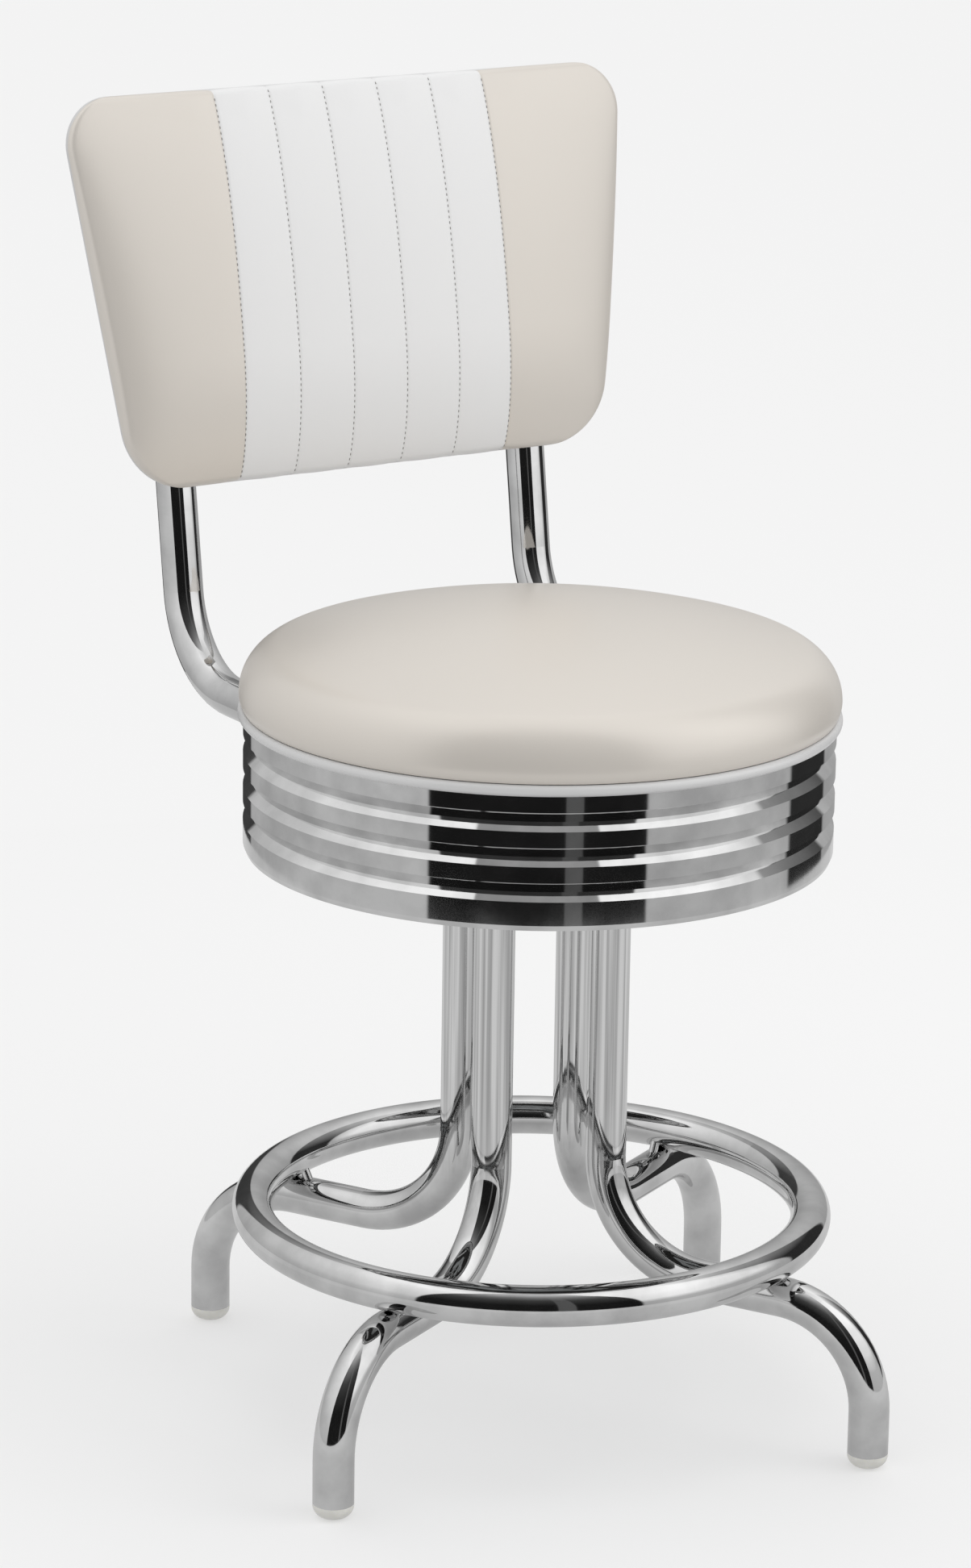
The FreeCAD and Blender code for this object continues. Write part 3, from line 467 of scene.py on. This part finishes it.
COVER_ROWS = 128
SIDE_COLUMNS = 72
CENTRE_COLUMNS = 300
ROW_GATHER = 2.2
EDGE_GATHER = 2.4
SEAM_GATHER = 1.5
COVER_WALL = 1 * MM
cover_heights = gathered(BACK_BOTTOM, BACK_TOP, COVER_ROWS, ROW_GATHER, ROW_GATHER)


def cover_panel(name, side, columns, material):
    """One panel of the cover, at side -1, 0 or 1: a grid on the face, walled and closed behind."""
    bpy.ops.object.select_all(action="DESELECT")
    bpy.ops.mesh.primitive_grid_add(x_subdivisions=columns, y_subdivisions=COVER_ROWS, size=2)
    piece = bpy.context.object
    piece.name = name
    rows = {}
    for number, up in enumerate(cover_heights):
        edge = half_width(up) - COVER_INSET
        if side == 0:
            rows[number] = gathered(-PANEL_HALF_WIDTH, PANEL_HALF_WIDTH, columns, 1, 1)
        elif side == -1:
            rows[number] = gathered(-edge, -PANEL_HALF_WIDTH, columns, EDGE_GATHER, SEAM_GATHER)
        else:
            rows[number] = gathered(PANEL_HALF_WIDTH, edge, columns, SEAM_GATHER, EDGE_GATHER)
    for vertex in piece.data.vertices:
        row = round((vertex.co.y + 1) / 2 * COVER_ROWS)
        column = round((vertex.co.x + 1) / 2 * columns)
        vertex.co = cover_point(rows[row][column], cover_heights[row], 0)
    bpy.ops.object.mode_set(mode="EDIT")
    bpy.ops.mesh.select_mode(type="EDGE")
    bpy.ops.mesh.select_all(action="DESELECT")
    bpy.ops.mesh.select_non_manifold()
    bpy.ops.mesh.extrude_region_move()
    bpy.ops.object.mode_set(mode="OBJECT")
    for vertex in piece.data.vertices:
        if vertex.select:
            depth = (vertex.co - BACK_REFERENCE).dot(FORWARD)
            vertex.co = vertex.co + FORWARD * (min(depth - COVER_WALL, CUSHION_BACK) - depth)
    bpy.ops.object.mode_set(mode="EDIT")
    bpy.ops.mesh.edge_face_add()
    bpy.ops.mesh.select_all(action="SELECT")
    bpy.ops.mesh.normals_make_consistent(inside=False)
    bpy.ops.object.mode_set(mode="OBJECT")
    piece.data.materials.append(material)
    finish_smooth(piece, 60)
    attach(piece, "seat")
    return piece


left_panel = cover_panel("back_cushion_left", -1, SIDE_COLUMNS, beige_vinyl)
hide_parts("back_pad_left")
centre_panel = cover_panel("back_cushion_centre", 0, CENTRE_COLUMNS, white_vinyl)
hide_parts("back_pad_centre")
right_panel = cover_panel("back_cushion_right", 1, SIDE_COLUMNS, beige_vinyl)
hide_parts("back_pad_right")

# ---- Seam stitching -----------------------------------------------------------------------------
# A lockstitch in grey polyester thread holds the cover down along every channel and colour seam.
# Each visible stitch is a short rounded length of thread, half sunk where the needle went in. Its
# grey is partly the thread's own colour and partly painted shade, for the shadow in the needle holes.
STITCH_PITCH = 3.6 * MM
STITCH_LENGTH = 2.0 * MM
THREAD_RADIUS = 0.36 * MM
STITCH_END_MARGIN = 3 * MM
STITCH_LIFT = 0.1 * MM
SEAM_STEP = 1 * MM
THREAD_TWIST = 0.4 * MM

stitching_and_hole_shade, shader = new_material("grey polyester stitching with painted needle-hole shade")
# Painted shade: the thread's grey is darkened to stand for the shadow in the needle holes.
shader.inputs["Base Color"].default_value = linear("8F8E8B")
shader.inputs["Roughness"].default_value = 0.55
shader.inputs["Sheen Weight"].default_value = 0.3
place = add(stitching_and_hole_shade, "ShaderNodeTexCoord")
twist = add(stitching_and_hole_shade, "ShaderNodeTexNoise", {"Scale": 1 / THREAD_TWIST, "Detail": 1.0},
            {"Vector": place.outputs["Object"]})
ply = add(stitching_and_hole_shade, "ShaderNodeBump", {"Strength": 0.4, "Distance": 0.0001}, {"Height": twist.outputs["Fac"]})
stitching_and_hole_shade.node_tree.links.new(ply.outputs["Normal"], shader.inputs["Normal"])

bpy.ops.object.select_all(action="DESELECT")
bpy.ops.mesh.primitive_uv_sphere_add(segments=6, ring_count=4, radius=1)
stitch_shape = bpy.context.object
stitch_vertices = [vertex.co.copy() for vertex in stitch_shape.data.vertices]
stitch_faces = [tuple(face.vertices) for face in stitch_shape.data.polygons]
bpy.data.objects.remove(stitch_shape)

stitch_points = []
stitch_polygons = []
for seam in range(CHANNELS + 1):
    across = -PANEL_HALF_WIDTH + seam * CHANNEL_WIDTH
    up = BACK_BOTTOM + STITCH_END_MARGIN
    while up < BACK_TOP - STITCH_END_MARGIN:
        here = cover_point(across, up, STITCH_LIFT)
        there = cover_point(across, up + SEAM_STEP, STITCH_LIFT)
        along = (there - here).normalized()
        outward = Vector((1, 0, 0)).cross(along).normalized()
        beside = along.cross(outward)
        first = len(stitch_points)
        for corner in stitch_vertices:
            reach = along * corner.z * STITCH_LENGTH / 2
            stitch_points.append(here + reach + (beside * corner.x + outward * corner.y) * THREAD_RADIUS)
        stitch_polygons.extend(tuple(first + index for index in face) for face in stitch_faces)
        up += STITCH_PITCH / max(1, (there - here).length / SEAM_STEP)
stitch_mesh = bpy.data.meshes.new("back_stitching")
stitch_mesh.from_pydata(stitch_points, [], stitch_polygons)
back_stitching = bpy.data.objects.new("back_stitching", stitch_mesh)
scene.collection.objects.link(back_stitching)
bpy.ops.object.select_all(action="DESELECT")
back_stitching.select_set(True)
bpy.context.view_layer.objects.active = back_stitching
bpy.ops.object.mode_set(mode="EDIT")
bpy.ops.mesh.select_all(action="SELECT")
bpy.ops.mesh.normals_make_consistent(inside=False)
bpy.ops.object.mode_set(mode="OBJECT")
stitch_mesh.materials.append(stitching_and_hole_shade)
finish_smooth(back_stitching, 60)
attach(back_stitching, "seat")

# ---- Studio -------------------------------------------------------------------------------------
# A pale floor under an even sky, and a soft lamp to one side. A wall that only reflections see has a
# black gap where the camera stands, soft boxes beside it and darker gaps further round. A glowing
# ground, which the camera doesn't see, stands in the reflections and lights the stool from below.
CAMERA_BEARING = math.radians(-123.07)
CAMERA_REACH = 3.2459
CAMERA_HEIGHT = 1.3037
CAMERA_PITCH = math.radians(15.521)
CAMERA_YAW = math.radians(-0.585)
CAMERA_ROLL = math.radians(0.869)
CAMERA_LENS = 124.32
FLOOR_SIDE = 30
SIDE_LIGHT_REACH = 2.2
SIDE_LIGHT_BEARING = 80
SIDE_LIGHT_HEIGHT = 2.0
SIDE_LIGHT_SIZE = 1.8
SIDE_LIGHT_POWER = 11.0
SIDE_LIGHT_AIM = Vector((0, 0, 0.5))
WALL_RADIUS = 1.35
# The wall's outline as (radius, height), closed by a ceiling.
WALL_OUTLINE = ((WALL_RADIUS, 0.0), (WALL_RADIUS, 0.30), (WALL_RADIUS, 0.60), (WALL_RADIUS, 1.50),
                (WALL_RADIUS, 3.20), (0.0, 3.20))
# Degrees round from the camera, and the wall's brightness at each point of its outline.
WALL_GLOW = (
    (-180, 0.36, 0.40, 0.50, 0.75, 1.10, 0.85),
    (-167, 0.36, 0.40, 0.50, 0.75, 1.10, 0.85),
    (-165, 0.05, 0.05, 0.06, 0.50, 1.10, 0.85),
    (-143, 0.05, 0.05, 0.06, 0.50, 1.10, 0.85),
    (-141, 0.45, 0.50, 0.55, 0.80, 1.20, 0.85),
    (-90, 0.55, 0.62, 0.75, 0.95, 1.25, 0.85),
    (-40, 0.55, 0.65, 0.85, 1.00, 1.20, 0.85),
    (-39, 0.012, 0.012, 0.012, 0.06, 0.30, 0.85),
    (9.7, 0.012, 0.012, 0.012, 0.06, 0.30, 0.85),
    (10.0, 0.11, 0.11, 0.11, 0.11, 0.30, 0.85),
    (16.0, 0.11, 0.11, 0.11, 0.11, 0.30, 0.85),
    (16.3, 0.012, 0.012, 0.012, 0.06, 0.30, 0.85),
    (39, 0.012, 0.012, 0.012, 0.06, 0.30, 0.85),
    (40, 0.48, 0.52, 1.05, 1.20, 1.20, 0.85),
    (93, 0.52, 0.56, 1.10, 1.25, 1.25, 0.85),
    (106, 0.50, 0.52, 0.60, 0.90, 1.20, 0.85),
    (108, 0.03, 0.03, 0.03, 0.40, 1.10, 0.85),
    (136, 0.03, 0.03, 0.03, 0.40, 1.10, 0.85),
    (138, 0.40, 0.45, 0.50, 0.80, 1.10, 0.85),
    (180, 0.36, 0.40, 0.50, 0.75, 1.10, 0.85),
)
# Radius and brightness of the glowing ground, darker close under the stool as a painted shadow.
FLOOR_GLOW = ((0.0, 0.42), (0.25, 0.58), (0.60, 0.66), (WALL_RADIUS, 0.66), (FLOOR_SIDE / 2, 0.66))
GROUND_HEIGHT = -0.5 * MM
GROUND_STEPS = 72
BEARING_STEP = 4


def glowing(name, points, faces, glows):
    """A stage piece with its brightness given point by point, which the camera doesn't see."""
    mesh = bpy.data.meshes.new(name)
    mesh.from_pydata(points, [], faces)
    shades = mesh.color_attributes.new("glow", "FLOAT_COLOR", "POINT")
    for number, glow in enumerate(glows):
        shades.data[number].color = (glow, glow, glow, 1)
    stage_piece = bpy.data.objects.new(name, mesh)
    scene.collection.objects.link(stage_piece)
    material, shader = new_material(name + " light")
    shader.inputs["Base Color"].default_value = (0, 0, 0, 1)
    shader.inputs["Specular IOR Level"].default_value = 0.0
    shader.inputs["Emission Strength"].default_value = 1.0
    shade = add(material, "ShaderNodeAttribute", {"attribute_name": "glow"})
    material.node_tree.links.new(shade.outputs["Color"], shader.inputs["Emission Color"])
    mesh.materials.append(material)
    stage_piece.visible_camera = False
    stage_piece.visible_diffuse = False
    stage_piece.visible_shadow = False
    return stage_piece


def on_ring(radius, degrees, height):
    """A place round the stool, its bearing counted from the camera's."""
    bearing = CAMERA_BEARING + math.radians(degrees)
    return (radius * math.cos(bearing), radius * math.sin(bearing), height)


wall_points = []
wall_glows = []
wall_faces = []
tall = len(WALL_OUTLINE)
for before, after in zip(WALL_GLOW, WALL_GLOW[1:]):
    steps = max(1, round((after[0] - before[0]) / BEARING_STEP))
    for step in range(steps + 1):
        share = step / steps
        for level, (radius, height) in enumerate(WALL_OUTLINE):
            wall_points.append(on_ring(radius, before[0] + (after[0] - before[0]) * share, height))
            wall_glows.append(before[level + 1] + (after[level + 1] - before[level + 1]) * share)
        if step:
            corner = len(wall_points) - 2 * tall
            for level in range(tall - 1):
                here = corner + level
                wall_faces.append((here, here + tall, here + tall + 1, here + 1))
glowing("studio_wall", wall_points, wall_faces, wall_glows)

disc_points = []
disc_glows = []
disc_faces = []
for radius, glow in FLOOR_GLOW:
    for step in range(GROUND_STEPS):
        disc_points.append(on_ring(radius, 360 * step / GROUND_STEPS, GROUND_HEIGHT))
        disc_glows.append(glow)
for ring in range(len(FLOOR_GLOW) - 1):
    for step in range(GROUND_STEPS):
        here = ring * GROUND_STEPS + step
        beside = ring * GROUND_STEPS + (step + 1) % GROUND_STEPS
        disc_faces.append((here, here + GROUND_STEPS, beside + GROUND_STEPS, beside))
studio_ground = glowing("studio_ground", disc_points, disc_faces, disc_glows)
studio_ground.visible_diffuse = True

bpy.ops.object.select_all(action="DESELECT")
bpy.ops.mesh.primitive_plane_add(size=FLOOR_SIDE, location=(0, 0, 0))
floor = bpy.context.object
floor.name = "floor"
floor_paint, shader = new_material("matt pale studio floor")
shader.inputs["Base Color"].default_value = linear("BBBBBB")
shader.inputs["Emission Color"].default_value = (1, 1, 1, 1)
shader.inputs["Emission Strength"].default_value = 0.40
shader.inputs["Roughness"].default_value = 0.9
shader.inputs["Specular IOR Level"].default_value = 0.1
floor.data.materials.append(floor_paint)
floor.visible_glossy = False
floor.visible_diffuse = False

side_light = bpy.data.lights.new("side_light", "AREA")
side_light.shape = "DISK"
side_light.size = SIDE_LIGHT_SIZE
side_light.energy = SIDE_LIGHT_POWER
side_stand = bpy.data.objects.new("side_light", side_light)
scene.collection.objects.link(side_stand)
side_stand.location = on_ring(SIDE_LIGHT_REACH, SIDE_LIGHT_BEARING, SIDE_LIGHT_HEIGHT)
side_stand.rotation_euler = (SIDE_LIGHT_AIM - side_stand.location).to_track_quat("-Z", "Y").to_euler()
side_stand.visible_glossy = False

world = bpy.data.worlds.new("studio")
scene.world = world
world.use_nodes = True
background = world.node_tree.nodes["Background"]
place = add(world, "ShaderNodeTexCoord")
split = add(world, "ShaderNodeSeparateXYZ", None, {"Vector": place.outputs["Generated"]})
ramp = add(world, "ShaderNodeValToRGB", None, {"Fac": split.outputs["Z"]})
ramp.color_ramp.elements[0].position = 0.0
ramp.color_ramp.elements[0].color = linear("EDEDED")
ramp.color_ramp.elements[1].position = 0.9
ramp.color_ramp.elements[1].color = (1.0, 1.0, 1.0, 1)
world.node_tree.links.new(ramp.outputs["Color"], background.inputs["Color"])
background.inputs["Strength"].default_value = 1.02

camera_data = bpy.data.cameras.new("camera")
camera_data.lens = CAMERA_LENS
camera = bpy.data.objects.new("camera", camera_data)
scene.collection.objects.link(camera)
heading = CAMERA_BEARING + math.pi - CAMERA_YAW
ahead = Vector((math.cos(heading) * math.cos(CAMERA_PITCH),
                math.sin(heading) * math.cos(CAMERA_PITCH),
                -math.sin(CAMERA_PITCH)))
level = Vector((math.sin(heading), -math.cos(heading), 0))
upright = level.cross(ahead)
across = level * math.cos(CAMERA_ROLL) + upright * math.sin(CAMERA_ROLL)
above = -level * math.sin(CAMERA_ROLL) + upright * math.cos(CAMERA_ROLL)
facing = Matrix((across, above, -ahead)).transposed().to_4x4()
stand = Vector(on_ring(CAMERA_REACH, 0, CAMERA_HEIGHT))
camera.matrix_world = Matrix.Translation(stand) @ facing
scene.camera = camera
scene.view_settings.view_transform = "Standard"
